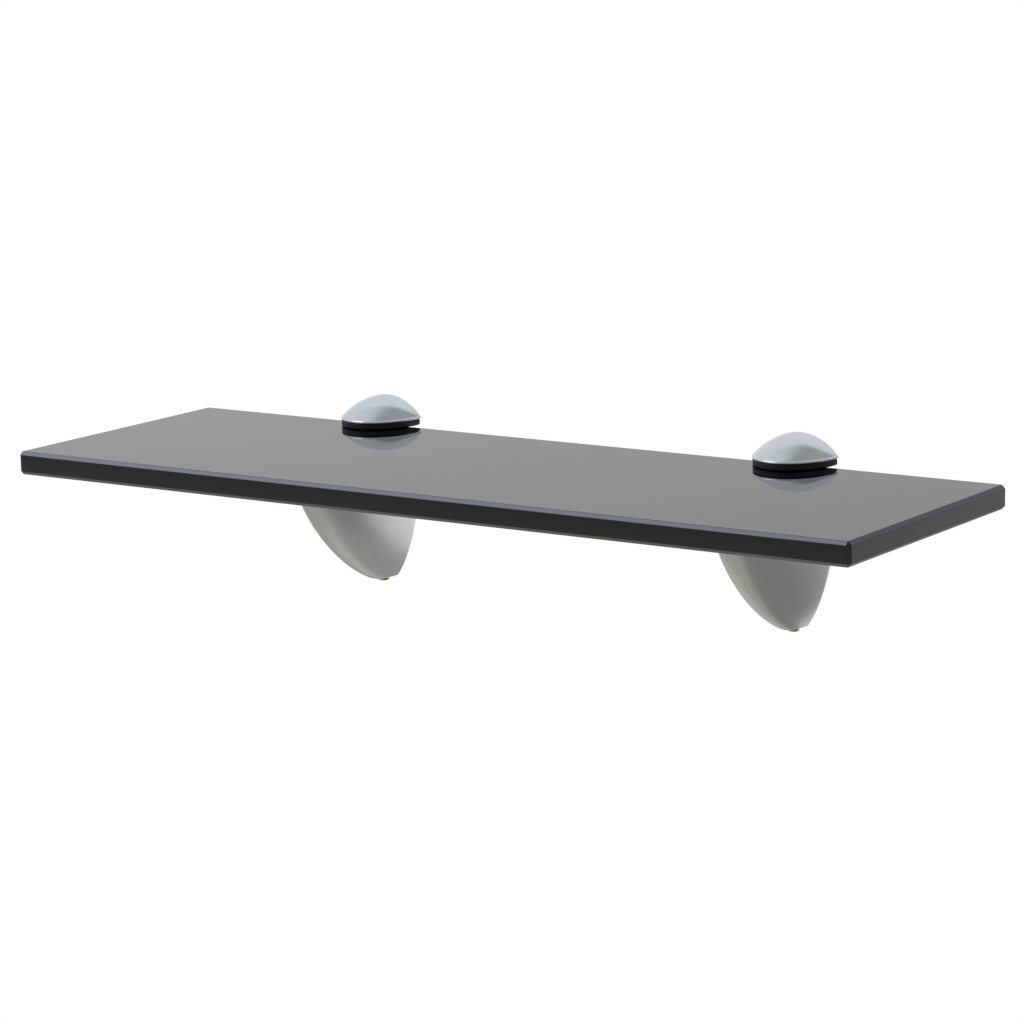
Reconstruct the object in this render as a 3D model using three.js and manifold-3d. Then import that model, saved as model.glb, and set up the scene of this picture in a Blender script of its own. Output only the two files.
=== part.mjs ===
// Glass wall shelf on two clamp brackets.
// Millimetres, +Z up. The wall is the plane Y = 0 and the room is on the -Y side.
// X = 0 is midway between the brackets and Z = 0 is the top face of the glass.
import * as THREE from 'three';
import { mergeVertices } from 'three/addons/utils/BufferGeometryUtils.js';
import Module from 'manifold-3d';

const wasm = await Module();
wasm.setup();

// ---------------------------------------------------------------- dimensions

const GLASS = { length: 320, depth: 105, thickness: 8, chamfer: 1.2, wallGap: 4.7 };
const BRACKET_SPACING = 166;

// Free space left between a soft pad and the piece that it presses on.
const PAD_GAP = 0.1;
// Free space between pieces that slide past each other.
const SLIDE_GAP = 0.3;

// Outer form of the cast lower body: a half oval against the wall that narrows to a tip.
const BODY = {
  halfWidth: 14,
  depth: 55.4,
  height: 49.4,
  tipHeight: 47.1,
  widthRoundness: 0.657,
  depthPower: 1.47,
  depthRoundness: 0.62,
  rearRadius: 0.8,
  wall: 2.4,
  noseWall: 4.8,
  topPlate: 3,
  webTop: -43.2,
};

const LOWER_PAD = { thickness: 1, inset: 0.8 };

// Dome of the upper jaw: arches across X, stacked from the wall to the nose.
const JAW = {
  halfWidth: 14.2,
  depth: 20,
  lip: 0.6,
  rise: 6.95,
  outlinePower: 2.1,
  archPower: 1.7,
  risePower: 2.5,
  riseRoundness: 1.2,
};
const UPPER_PAD = { thickness: 2.1, inset: 0.15 };

// Tongue of the upper jaw, which runs down behind the glass, and its threaded block.
const TONGUE = { halfWidth: 7, thickness: 2, bottom: -36 };
const BLOCK = { halfWidth: 6, front: -10.6, top: -19 };

// Clamp screw, one thread size all the way, with a collar that the body holds.
const SCREW = { radius: 1.95, y: -4.9, top: -17, bottom: -56.2, collarRadius: 3.4, collarBottom: -47.9 };
const COLLAR_THICKNESS = 1.4;
const COLLAR_CLEARANCE = 0.5;
const SCREW_CHAMFER = 0.3;
const SCREW_SLOT = { width: 0.9, depth: 1.2 };
const SCREW_CLEARANCE = 0.3;
const THREAD_CLEARANCE = 0.15;

const WASHER = { inner: 2.25, outer: 3.5, thickness: 0.7 };

// Steel plate that is screwed to the wall, with two hooks and a lug.
const PLATE = {
  thickness: 2.1,
  top: -13,
  shoulder: -17,
  bottom: -39.4,
  topHalfWidth: 8.9,
  shoulderHalfWidth: 10.4,
  bottomHalfWidth: 6,
};
const PLATE_HOLE = { radius: 2, countersink: 3.6, flare: 0.5, heights: [-17.5, -32.5] };
const LUG = { halfWidth: 5.5, front: -14.5, thickness: 1.4, holeRadius: 2.8 };
const HOOK = { inner: 7.6, outer: 9, reach: 8.6, bottom: -28, floor: -25, tip: -21.5, tipWidth: 1.6 };
const RIB = { inner: 7.2, outer: 11.6, front: -6.6, back: -4.7, height: 2 };

// Grub screw that locks the body down on the hooks.
const GRUB = { radius: 1.45, y: -11.2, length: 5.9, socketAcrossCorners: 1.7, socketDepth: 1.5 };

// How far a cutting solid reaches past the face that it cuts through.
const OVERSHOOT = 1;
// How far two cuts in line run into each other.
const OVERLAP = 0.01;

const ROUND = 24;
const OVAL_STEPS = 14;
const CORNER_STEPS = 3;
const BODY_LEVELS = 18;
const HOLLOW_LEVELS = 9;
const JAW_ARCHES = 14;
// The last arch stops just short of the nose, so that it still has a width.
const JAW_LAST_TURN = 1.55;

// ---------------------------------------------------------------- derived places

const glassUnderside = -GLASS.thickness;
const lowerPadTop = glassUnderside - PAD_GAP;
const bodyTop = lowerPadTop - LOWER_PAD.thickness - PAD_GAP;
const upperPadTop = PAD_GAP + UPPER_PAD.thickness;
const jawBase = upperPadTop + PAD_GAP;
const tongueFront = -GLASS.wallGap + SLIDE_GAP;
const tongueBack = tongueFront + TONGUE.thickness;
const collarTop = SCREW.collarBottom + COLLAR_THICKNESS;
const washerBottom = collarTop + PAD_GAP;
const webBottom = washerBottom + WASHER.thickness + PAD_GAP;
const collarPocketFloor = SCREW.collarBottom - SLIDE_GAP - PAD_GAP;
const lugTop = PLATE.bottom + LUG.thickness;
const grubTop = PLATE.bottom - PAD_GAP;

// ---------------------------------------------------------------- materials

const finish = (color, roughness, metalness) =>
  new THREE.MeshStandardMaterial({ color, roughness, metalness });

const smokedGlass = finish(0x1c2224, 0.05, 0);
const satinNickel = finish(0xa9aca8, 0.35, 1);
const satinChrome = finish(0xc4c9cd, 0.22, 1);
const blackRubber = finish(0x15161a, 0.75, 0);
const brass = finish(0xb08d4a, 0.3, 1);
const zincSteel = finish(0x9a9c9e, 0.4, 1);
const blackSteel = finish(0x2b2b2d, 0.5, 1);
const nylon = finish(0xe6e2d8, 0.6, 0);

// ---------------------------------------------------------------- solid helpers

function toSolid(geometry) {
  const bare = geometry.clone();
  bare.deleteAttribute('normal');
  bare.deleteAttribute('uv');
  const merged = mergeVertices(bare, 1e-4);
  return new wasm.Manifold(new wasm.Mesh({
    numProp: 3,
    vertProperties: Float32Array.from(merged.attributes.position.array),
    triVerts: Uint32Array.from(merged.index.array),
  }));
}

function toGeometry(solid) {
  const mesh = solid.getMesh();
  const geometry = new THREE.BufferGeometry();
  geometry.setAttribute('position', new THREE.BufferAttribute(mesh.vertProperties, 3));
  geometry.setIndex(new THREE.BufferAttribute(mesh.triVerts, 1));
  geometry.computeVertexNormals();
  return geometry;
}

// A box given by its lowest and highest coordinate along each axis.
function block([x0, x1], [y0, y1], [z0, z1]) {
  const box = new THREE.BoxGeometry(x1 - x0, y1 - y0, z1 - z0);
  box.translate((x0 + x1) / 2, (y0 + y1) / 2, (z0 + z1) / 2);
  return toSolid(box);
}

// A round bar along Z, centred on X = 0.
function upright(radius, y, [z0, z1], sides = ROUND) {
  const bar = new THREE.CylinderGeometry(radius, radius, z1 - z0, sides);
  bar.rotateX(Math.PI / 2);
  bar.translate(0, y, (z0 + z1) / 2);
  return toSolid(bar);
}

// A profile of [radius, height] pairs turned about the Z axis.
function turned(profile) {
  const lathe = new THREE.LatheGeometry(profile.map(([r, z]) => new THREE.Vector2(r, z)), ROUND);
  lathe.rotateX(Math.PI / 2);
  return lathe;
}

// Joins rings of equal length into one closed skin with a fan on each end.
function loft(rings) {
  const count = rings[0].length;
  const indices = [];
  for (let ring = 0; ring < rings.length - 1; ring += 1) {
    for (let i = 0; i < count; i += 1) {
      const next = (i + 1) % count;
      const low = ring * count;
      const high = low + count;
      indices.push(low + i, low + next, high + next);
      indices.push(low + i, high + next, high + i);
    }
  }
  const last = (rings.length - 1) * count;
  for (let i = 1; i < count - 1; i += 1) {
    indices.push(0, i + 1, i);
    indices.push(last, last + i, last + i + 1);
  }
  const geometry = new THREE.BufferGeometry().setFromPoints(rings.flat());
  geometry.setIndex(indices);
  return geometry;
}

// Half oval with its flat side at y = rear, as [x, y] pairs, anticlockwise from the nose.
function halfOval(halfWidth, depth, rearRadius, rear = 0) {
  const radius = Math.min(rearRadius, halfWidth * 0.4, depth * 0.3);
  const noseToFlank = [];
  for (let i = 0; i <= OVAL_STEPS; i += 1) {
    const turn = (Math.PI / 2) * (i / OVAL_STEPS);
    noseToFlank.push([halfWidth * Math.sin(turn), -radius - (depth - radius) * Math.cos(turn)]);
  }
  const corner = [];
  for (let i = 1; i <= CORNER_STEPS; i += 1) {
    const turn = (Math.PI / 2) * (i / CORNER_STEPS);
    corner.push([
      halfWidth - radius + radius * Math.cos(turn),
      rear - radius + radius * Math.sin(turn),
    ]);
  }
  const right = [...noseToFlank, ...corner];
  const left = right.slice(1).reverse().map(([x, y]) => [-x, y]);
  return [...right, ...left];
}

const atHeight = (outline, z) => outline.map(([x, y]) => new THREE.Vector3(x, y, z));

function flatPad(halfWidth, depth, z0, z1, notchHalfWidth, notchFront) {
  const outline = halfOval(halfWidth, depth, BODY.rearRadius);
  const pad = toSolid(loft([atHeight(outline, z0), atHeight(outline, z1)]));
  const notch = block(
    [-notchHalfWidth, notchHalfWidth],
    [notchFront, OVERSHOOT],
    [z0 - OVERSHOOT, z1 + OVERSHOOT],
  );
  return toGeometry(pad.subtract(notch));
}

// ---------------------------------------------------------------- glass

function glassShelf() {
  const { length, depth, thickness, chamfer, wallGap } = GLASS;
  const x = length / 2;
  const y = depth / 2;
  const outline = new THREE.Shape([
    new THREE.Vector2(-x + chamfer, -y),
    new THREE.Vector2(x - chamfer, -y),
    new THREE.Vector2(x, -y + chamfer),
    new THREE.Vector2(x, y - chamfer),
    new THREE.Vector2(x - chamfer, y),
    new THREE.Vector2(-x + chamfer, y),
    new THREE.Vector2(-x, y - chamfer),
    new THREE.Vector2(-x, -y + chamfer),
  ]);
  const slab = new THREE.ExtrudeGeometry(outline, {
    depth: thickness - 2 * chamfer,
    bevelEnabled: true,
    bevelSize: chamfer,
    bevelThickness: chamfer,
    bevelOffset: -chamfer,
    bevelSegments: 1,
    steps: 1,
  });
  slab.translate(0, -wallGap - y, chamfer - thickness);
  return slab;
}

// ---------------------------------------------------------------- lower body

// Half width and depth of the body at a share of its height below the glass.
function bodySize(share) {
  return {
    halfWidth: BODY.halfWidth * (1 - share ** 2) ** BODY.widthRoundness,
    depth: BODY.depth * (1 - share ** BODY.depthPower) ** BODY.depthRoundness,
  };
}

function bodyLoft(top, bottom, steps, shape) {
  const rings = [];
  for (let i = steps; i >= 0; i -= 1) {
    const z = top + (bottom - top) * Math.sin((Math.PI / 2) * (i / steps));
    const { halfWidth, depth } = bodySize((glassUnderside - z) / BODY.height);
    rings.push(atHeight(shape(halfWidth, depth), z));
  }
  return toSolid(loft(rings));
}

function lowerBody() {
  const tip = glassUnderside - BODY.tipHeight;
  const skin = bodyLoft(bodyTop, tip, BODY_LEVELS, (w, d) => halfOval(w, d, BODY.rearRadius));
  const hollow = bodyLoft(bodyTop - BODY.topPlate, BODY.webTop, HOLLOW_LEVELS, (w, d) =>
    halfOval(w - BODY.wall, d - BODY.noseWall, 0, OVERSHOOT));
  const below = tip - OVERSHOOT;
  const above = BODY.webTop + OVERSHOOT;
  const tongueSlot = block(
    [-TONGUE.halfWidth - SLIDE_GAP, TONGUE.halfWidth + SLIDE_GAP],
    [tongueFront - SLIDE_GAP, OVERSHOOT],
    [bodyTop - BODY.topPlate - OVERSHOOT, bodyTop + OVERSHOOT],
  );
  const screwHole = SCREW.radius + SCREW_CLEARANCE;
  const screwBore = upright(screwHole, SCREW.y, [below, above]);
  const screwSlot = block([-screwHole, screwHole], [SCREW.y, OVERSHOOT], [below, above]);
  const pocketHalfWidth = SCREW.collarRadius + COLLAR_CLEARANCE;
  const collarPocket = block(
    [-pocketHalfWidth, pocketHalfWidth],
    [SCREW.y - pocketHalfWidth, OVERSHOOT],
    [collarPocketFloor, webBottom],
  );
  const grubBottom = grubTop - GRUB.length;
  const grubBore = upright(GRUB.radius + THREAD_CLEARANCE, GRUB.y, [grubBottom, above]);
  const grubAccess = upright(GRUB.radius + SCREW_CLEARANCE, GRUB.y, [below, grubBottom + OVERLAP]);
  let body = skin.subtract(hollow);
  for (const side of [-1, 1]) {
    const ends = [side * RIB.inner, side * RIB.outer].sort((a, b) => a - b);
    const z = HOOK.floor + SLIDE_GAP;
    body = body.add(block(ends, [RIB.front, RIB.back], [z, z + RIB.height]));
  }
  for (const cut of [tongueSlot, screwBore, screwSlot, collarPocket, grubBore, grubAccess]) {
    body = body.subtract(cut);
  }
  return toGeometry(body);
}

function lowerPad() {
  const { halfWidth, depth } = bodySize(0);
  return flatPad(
    halfWidth - LOWER_PAD.inset,
    depth - 2 * LOWER_PAD.inset,
    bodyTop + PAD_GAP,
    lowerPadTop,
    TONGUE.halfWidth + SLIDE_GAP,
    tongueFront - SLIDE_GAP,
  );
}

// ---------------------------------------------------------------- upper jaw

// One arch of the dome at a distance from the wall, as a closed ring.
function jawArch(distance) {
  const reach = distance / JAW.depth;
  const halfWidth = JAW.halfWidth * (1 - reach ** JAW.outlinePower) ** (1 / JAW.outlinePower);
  const rise = JAW.rise * (1 - reach ** JAW.risePower) ** JAW.riseRoundness;
  const ring = [new THREE.Vector3(halfWidth, -distance, jawBase)];
  const steps = 2 * OVAL_STEPS;
  for (let i = 0; i <= steps; i += 1) {
    const turn = Math.PI * (i / steps);
    const x = halfWidth * Math.cos(turn);
    const z = jawBase + JAW.lip + rise * Math.abs(Math.sin(turn)) ** JAW.archPower;
    ring.push(new THREE.Vector3(x, -distance, z));
  }
  ring.push(new THREE.Vector3(-halfWidth, -distance, jawBase));
  return ring;
}

function upperJaw() {
  const arches = [];
  for (let i = 0; i <= JAW_ARCHES; i += 1) {
    arches.push(jawArch(JAW.depth * Math.sin(JAW_LAST_TURN * (i / JAW_ARCHES))));
  }
  const dome = toSolid(loft(arches));
  const tongue = block(
    [-TONGUE.halfWidth, TONGUE.halfWidth],
    [tongueFront, tongueBack],
    [TONGUE.bottom, jawBase + TONGUE.thickness],
  );
  const threadBlock = block(
    [-BLOCK.halfWidth, BLOCK.halfWidth],
    [BLOCK.front, tongueBack],
    [TONGUE.bottom, BLOCK.top],
  );
  const thread = upright(
    SCREW.radius + THREAD_CLEARANCE,
    SCREW.y,
    [TONGUE.bottom - OVERSHOOT, SCREW.top + SLIDE_GAP],
  );
  return toGeometry(dome.add(tongue).add(threadBlock).subtract(thread));
}

function upperPad() {
  return flatPad(
    JAW.halfWidth - UPPER_PAD.inset,
    JAW.depth - UPPER_PAD.inset,
    PAD_GAP,
    upperPadTop,
    TONGUE.halfWidth + SLIDE_GAP,
    tongueFront - SLIDE_GAP,
  );
}

// ---------------------------------------------------------------- screws and washer

function clampScrew() {
  const { radius, top, bottom, collarRadius, collarBottom } = SCREW;
  const shank = turned([
    [0, bottom],
    [radius - SCREW_CHAMFER, bottom],
    [radius, bottom + SCREW_CHAMFER],
    [radius, collarBottom],
    [collarRadius, collarBottom],
    [collarRadius, collarTop],
    [radius, collarTop],
    [radius, top - SCREW_CHAMFER],
    [radius - SCREW_CHAMFER, top],
    [0, top],
  ]);
  const slot = block(
    [-radius - OVERSHOOT, radius + OVERSHOOT],
    [-SCREW_SLOT.width / 2, SCREW_SLOT.width / 2],
    [bottom - OVERSHOOT, bottom + SCREW_SLOT.depth],
  );
  return toGeometry(toSolid(shank).subtract(slot));
}

function thrustWasher() {
  return turned([
    [WASHER.inner, washerBottom],
    [WASHER.outer, washerBottom],
    [WASHER.outer, washerBottom + WASHER.thickness],
    [WASHER.inner, washerBottom + WASHER.thickness],
    [WASHER.inner, washerBottom],
  ]);
}

function lockingScrew() {
  const bottom = grubTop - GRUB.length;
  const bar = upright(GRUB.radius, 0, [bottom, grubTop]);
  const socketRadius = GRUB.socketAcrossCorners / 2;
  const socket = upright(socketRadius, 0, [bottom - OVERSHOOT, bottom + GRUB.socketDepth], 6);
  return toGeometry(bar.subtract(socket));
}

// ---------------------------------------------------------------- wall plate

function wallPlate() {
  const { thickness, top, shoulder, bottom } = PLATE;
  const { topHalfWidth, shoulderHalfWidth, bottomHalfWidth } = PLATE;
  const outline = new THREE.Shape([
    new THREE.Vector2(-bottomHalfWidth, bottom),
    new THREE.Vector2(bottomHalfWidth, bottom),
    new THREE.Vector2(shoulderHalfWidth, shoulder),
    new THREE.Vector2(topHalfWidth, top),
    new THREE.Vector2(-topHalfWidth, top),
    new THREE.Vector2(-shoulderHalfWidth, shoulder),
  ]);
  const sheet = new THREE.ExtrudeGeometry(outline, { depth: thickness, bevelEnabled: false });
  sheet.rotateX(Math.PI / 2);
  let plate = toSolid(sheet);

  const lug = block([-LUG.halfWidth, LUG.halfWidth], [LUG.front, -thickness / 2], [bottom, lugTop]);
  const lugHole = upright(LUG.holeRadius, SCREW.y, [bottom - OVERSHOOT, lugTop + OVERSHOOT]);
  plate = plate.add(lug).subtract(lugHole);

  const hookShape = new THREE.Shape([
    new THREE.Vector2(-thickness / 2, HOOK.bottom),
    new THREE.Vector2(-thickness / 2, HOOK.floor),
    new THREE.Vector2(-HOOK.reach + HOOK.tipWidth, HOOK.floor),
    new THREE.Vector2(-HOOK.reach + HOOK.tipWidth, HOOK.tip),
    new THREE.Vector2(-HOOK.reach, HOOK.tip),
    new THREE.Vector2(-HOOK.reach, HOOK.bottom + HOOK.tipWidth),
    new THREE.Vector2(-HOOK.reach + HOOK.tipWidth, HOOK.bottom),
  ]);
  for (const inner of [HOOK.inner, -HOOK.outer]) {
    const hook = new THREE.ExtrudeGeometry(hookShape, {
      depth: HOOK.outer - HOOK.inner,
      bevelEnabled: false,
    });
    hook.rotateX(Math.PI / 2);
    hook.rotateZ(Math.PI / 2);
    hook.translate(inner, 0, 0);
    plate = plate.add(toSolid(hook));
  }

  for (const height of PLATE_HOLE.heights) {
    const { radius, countersink, flare } = PLATE_HOLE;
    const hole = new THREE.LatheGeometry([
      new THREE.Vector2(0, -OVERSHOOT),
      new THREE.Vector2(radius, -OVERSHOOT),
      new THREE.Vector2(radius, thickness - (countersink - radius)),
      new THREE.Vector2(countersink + flare, thickness + flare),
      new THREE.Vector2(0, thickness + flare),
    ], ROUND);
    hole.rotateX(Math.PI);
    hole.translate(0, 0, height);
    plate = plate.subtract(toSolid(hole));
  }
  return toGeometry(plate);
}

// ---------------------------------------------------------------- assembly

function piece(name, geometry, material, y = 0) {
  const mesh = new THREE.Mesh(geometry, material);
  mesh.name = name;
  mesh.position.y = y;
  return mesh;
}

function bracket(side) {
  const assembly = new THREE.Group();
  assembly.add(
    piece(`${side}_lower_body`, lowerBody(), satinNickel),
    piece(`${side}_lower_pad`, lowerPad(), blackRubber),
    piece(`${side}_upper_jaw`, upperJaw(), satinChrome),
    piece(`${side}_upper_pad`, upperPad(), blackRubber),
    piece(`${side}_clamp_screw`, clampScrew(), brass, SCREW.y),
    piece(`${side}_thrust_washer`, thrustWasher(), nylon, SCREW.y),
    piece(`${side}_wall_plate`, wallPlate(), zincSteel),
    piece(`${side}_locking_screw`, lockingScrew(), blackSteel, GRUB.y),
  );
  assembly.position.x = (side === 'left' ? -1 : 1) * (BRACKET_SPACING / 2);
  return assembly;
}

const group = new THREE.Group();
group.add(piece('glass_shelf', glassShelf(), smokedGlass));
group.add(bracket('left'));
group.add(bracket('right'));

export default group;
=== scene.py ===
import math

import bmesh
import bpy
from mathutils import Matrix, Vector


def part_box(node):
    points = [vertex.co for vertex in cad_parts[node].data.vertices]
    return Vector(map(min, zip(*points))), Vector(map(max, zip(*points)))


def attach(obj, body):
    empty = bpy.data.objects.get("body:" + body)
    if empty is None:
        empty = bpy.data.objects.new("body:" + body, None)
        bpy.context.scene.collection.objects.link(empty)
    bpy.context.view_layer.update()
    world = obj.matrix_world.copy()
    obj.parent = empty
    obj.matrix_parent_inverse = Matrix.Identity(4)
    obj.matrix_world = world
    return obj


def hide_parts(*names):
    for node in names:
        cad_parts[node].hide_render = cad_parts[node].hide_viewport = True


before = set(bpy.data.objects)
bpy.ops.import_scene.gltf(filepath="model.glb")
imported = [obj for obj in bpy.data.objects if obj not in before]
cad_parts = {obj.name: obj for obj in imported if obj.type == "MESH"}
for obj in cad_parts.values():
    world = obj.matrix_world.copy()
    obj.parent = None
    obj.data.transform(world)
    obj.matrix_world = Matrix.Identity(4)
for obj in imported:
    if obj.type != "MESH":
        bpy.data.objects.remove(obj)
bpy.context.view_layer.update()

# The brackets are modelled in millimetres round X = 0, with the wall at Y = 0 and the top face
# of the glass at Z = 0, and are then placed where the frame has them.
MM = 0.001
SIDES = ("left", "right")

# ---------------------------------------------------------------- places taken from the frame


def cad(node):
    """Lowest and highest corner of a right-hand node, in millimetres, with X from its middle."""
    low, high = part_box("right_" + node)
    shift = Vector(((low.x + high.x) / 2, 0, 0))
    return (low - shift) / MM, (high - shift) / MM


GLASS_LOW, GLASS_HIGH = (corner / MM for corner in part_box("glass_shelf"))
BODY_LOW, BODY_HIGH = cad("lower_body")
JAW_LOW, JAW_HIGH = cad("upper_jaw")
UPPER_PAD_LOW, UPPER_PAD_HIGH = cad("upper_pad")
LOWER_PAD_LOW, LOWER_PAD_HIGH = cad("lower_pad")
SCREW_LOW, SCREW_HIGH = cad("clamp_screw")
WASHER_LOW, WASHER_HIGH = cad("thrust_washer")
GRUB_LOW, GRUB_HIGH = cad("locking_screw")

PAD_GAP = 0.1
SLIDE_GAP = 0.3
GLASS_UNDERSIDE = GLASS_LOW.z
GLASS_BACK = GLASS_HIGH.y
JAW_BASE = UPPER_PAD_HIGH.z + PAD_GAP
SCREW_Y = (SCREW_LOW.y + SCREW_HIGH.y) / 2
GRUB_Y = (GRUB_LOW.y + GRUB_HIGH.y) / 2

# ---------------------------------------------------------------- shape of the cast parts

GLASS_CHAMFER = 1.2
GLASS_ARRIS = 0.12
GLASS_LARGEST_ARRIS_FACE = 5.0

# The curve that the lower body narrows along, and how far down that curve its tip is cut off.
BODY_WIDTH_ROUNDNESS = 0.657
BODY_DEPTH_POWER = 1.47
BODY_DEPTH_ROUNDNESS = 0.62
BODY_TIP_SHARE = 47.1 / 49.4
BODY_REAR_RADIUS = 0.8
BODY_RIM_RADIUS = 0.5
BODY_TIP_RADIUS = 0.3
BODY_WALL = 2.4
BODY_NOSE_WALL = 4.8
BODY_TOP_PLATE = 3
BODY_WEB_TOP = -43.2
# No corner is rounded by more than these shares of the outline's width and depth.
CORNER_WIDTH_SHARE = 0.4
CORNER_DEPTH_SHARE = 0.3

JAW_LIP = 0.9
JAW_RIM_RADIUS = 0.5
JAW_RIM_START = math.radians(35)
JAW_LIP_RADIUS = 0.2
JAW_REAR_RADIUS = 0.4
JAW_OUTLINE_POWER = 2.1
JAW_ARCH_POWER = 1.7
JAW_RISE_POWER = 2.5
JAW_RISE_ROUNDNESS = 1.2

TONGUE_HALF_WIDTH = 7
TONGUE_THICKNESS = 2
TONGUE_OVERLAP = 2
TONGUE_ROUNDING = 0.3
BLOCK_HALF_WIDTH = 6
BLOCK_FRONT = -10.6
BLOCK_TOP = -19
BLOCK_ROUNDING = 0.4

RIB_INNER = 7.2
RIB_OUTER = 11.6
RIB_FRONT = -6.6
RIB_BACK = -4.7
RIB_BOTTOM = -24.7
RIB_HEIGHT = 2
RIB_ROUNDING = 0.25

PAD_ROUNDING_SHARE = 0.16
PAD_REAR_RADIUS = 1.1
UPPER_PAD_BULGE = 0.05
LOWER_PAD_BULGE = 0.04
NOTCH_ROUNDING = 0.5

SCREW_RADIUS = 1.95
SCREW_PITCH = 0.7
SCREW_CHAMFER = 0.3
SCREW_CLEARANCE = 0.3
THREAD_CLEARANCE = 0.15
COLLAR_BOTTOM = -47.9
COLLAR_TOP = -46.5
COLLAR_EDGE = 0.15
COLLAR_CLEARANCE = 0.5
POCKET_ROUNDING = 0.25
SLOT_WIDTH = 0.9
SLOT_DEPTH = 1.2
GRUB_PITCH = 0.5
GRUB_CHAMFER = 0.25
GRUB_SOCKET_RADIUS = 0.85
GRUB_SOCKET_DEPTH = 1.5
GRUB_ACCESS_CLEARANCE = 0.3
WASHER_INNER = 2.25
WASHER_EDGE = 0.12
# A thread's depth as a share of its pitch, and its root's flat and flank as shares of half of it.
THREAD_DEPTH = 0.55
THREAD_ROOT_FLAT = 0.12
THREAD_FLANK = 0.7

# How far a cutting shape runs past the face that it cuts.
BEYOND = 1.0

OVAL_STEPS = 48
CORNER_STEPS = 6
ROUNDING_STEPS = 5
BODY_LEVELS = 64
JAW_ARCHES = 56
ARCH_STEPS = 72
PAD_LEVELS = 14
THREAD_SIDES = 32
THREAD_STEPS = 6
BORE_SIDES = 48
SMALL_BORE_SIDES = 40
HEXAGON = 6
WASHER_SIDES = 64

BODY_TOP = BODY_HIGH.z
BODY_TIP = BODY_LOW.z
BODY_HEIGHT = (GLASS_UNDERSIDE - BODY_TIP) / BODY_TIP_SHARE
TOP_SHARE = (GLASS_UNDERSIDE - BODY_TOP) / BODY_HEIGHT
BODY_HALF_WIDTH = BODY_HIGH.x / (1 - TOP_SHARE**2) ** BODY_WIDTH_ROUNDNESS
BODY_DEPTH = -BODY_LOW.y / (1 - TOP_SHARE**BODY_DEPTH_POWER) ** BODY_DEPTH_ROUNDNESS

JAW_HALF_WIDTH = JAW_HIGH.x
JAW_DEPTH = -JAW_LOW.y
JAW_RISE = JAW_HIGH.z - JAW_BASE - JAW_LIP
TONGUE_FRONT = GLASS_BACK + SLIDE_GAP
TONGUE_BACK = TONGUE_FRONT + TONGUE_THICKNESS

# ---------------------------------------------------------------- mesh helpers


def steps(count):
    """Even shares from 0 to 1, both ends included."""
    return [i / count for i in range(count + 1)]


def quarter(count=ROUNDING_STEPS):
    """Sine and cosine along a quarter turn."""
    return [(math.sin(math.pi / 2 * t), math.cos(math.pi / 2 * t)) for t in steps(count)]


def new_object(name, points, faces):
    """An object in the scene from points in millimetres."""
    mesh = bpy.data.meshes.new(name)
    mesh.from_pydata(points, [], faces)
    mesh.update()
    made = bpy.data.objects.new(name, mesh)
    bpy.context.scene.collection.objects.link(made)
    return made


def loft(name, rings):
    """A closed skin through rings of equal length, anticlockwise from above, lowest first."""
    count = len(rings[0])
    points = [point for ring in rings for point in ring]
    faces = []
    for level in range(len(rings) - 1):
        low, high = level * count, (level + 1) * count
        for i in range(count):
            j = (i + 1) % count
            faces.append((low + i, low + j, high + j, high + i))
    faces.append(tuple(reversed(range(count))))
    faces.append(tuple(range(len(points) - count, len(points))))
    return new_object(name, points, faces)


def at_height(outline, z):
    return [(x, y, z) for x, y in outline]


def rounded_box(name, low, high, radius=0.0, segments=3):
    """A box between two corners, with all its edges rounded."""
    shape = bmesh.new()
    bmesh.ops.create_cube(shape, size=1.0)
    low, high = Vector(low), Vector(high)
    middle, size = (low + high) / 2, high - low
    for vertex in shape.verts:
        vertex.co = Vector(a * b for a, b in zip(vertex.co, size)) + middle
    if radius:
        bmesh.ops.bevel(
            shape, geom=shape.edges, offset=radius, segments=segments, profile=0.5, affect="EDGES"
        )
    mesh = bpy.data.meshes.new(name)
    shape.to_mesh(mesh)
    shape.free()
    made = bpy.data.objects.new(name, mesh)
    bpy.context.scene.collection.objects.link(made)
    return made


def circle(radius, y, sides):
    turns = [2 * math.pi * i / sides for i in range(sides)]
    return [(radius * math.cos(t), y + radius * math.sin(t)) for t in turns]


def bar(name, radius, y, low, high, sides):
    """A round bar along Z, centred on X = 0."""
    outline = circle(radius, y, sides)
    return loft(name, [at_height(outline, low), at_height(outline, high)])


def turned(name, profile, y, sides):
    """A closed profile of (radius, height) pairs turned about an upright axis at that y."""
    count = len(profile)
    points, faces = [], []
    for turn in range(sides):
        angle = 2 * math.pi * turn / sides
        for radius, z in profile:
            points.append((radius * math.cos(angle), y + radius * math.sin(angle), z))
        here, there = turn * count, (turn + 1) % sides * count
        for i in range(count):
            j = (i + 1) % count
            faces.append((here + i, there + i, there + j, here + j))
    return new_object(name, points, faces)


def facing_out(made):
    """Turns the faces of a closed mesh outwards."""
    edit = bmesh.new()
    edit.from_mesh(made.data)
    bmesh.ops.recalc_face_normals(edit, faces=edit.faces)
    edit.to_mesh(made.data)
    edit.free()
    return made


def combine(base, tools, operation):
    """Joins tools to base or cuts them from it, and removes them."""
    for tool in tools:
        step = base.modifiers.new("combine", "BOOLEAN")
        step.operation = operation
        step.solver = "EXACT"
        step.object = tool
    graph = bpy.context.evaluated_depsgraph_get()
    result = bpy.data.meshes.new_from_object(base.evaluated_get(graph))
    base.modifiers.clear()
    base.data = result
    for tool in tools:
        bpy.data.objects.remove(tool)
    return base


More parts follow.
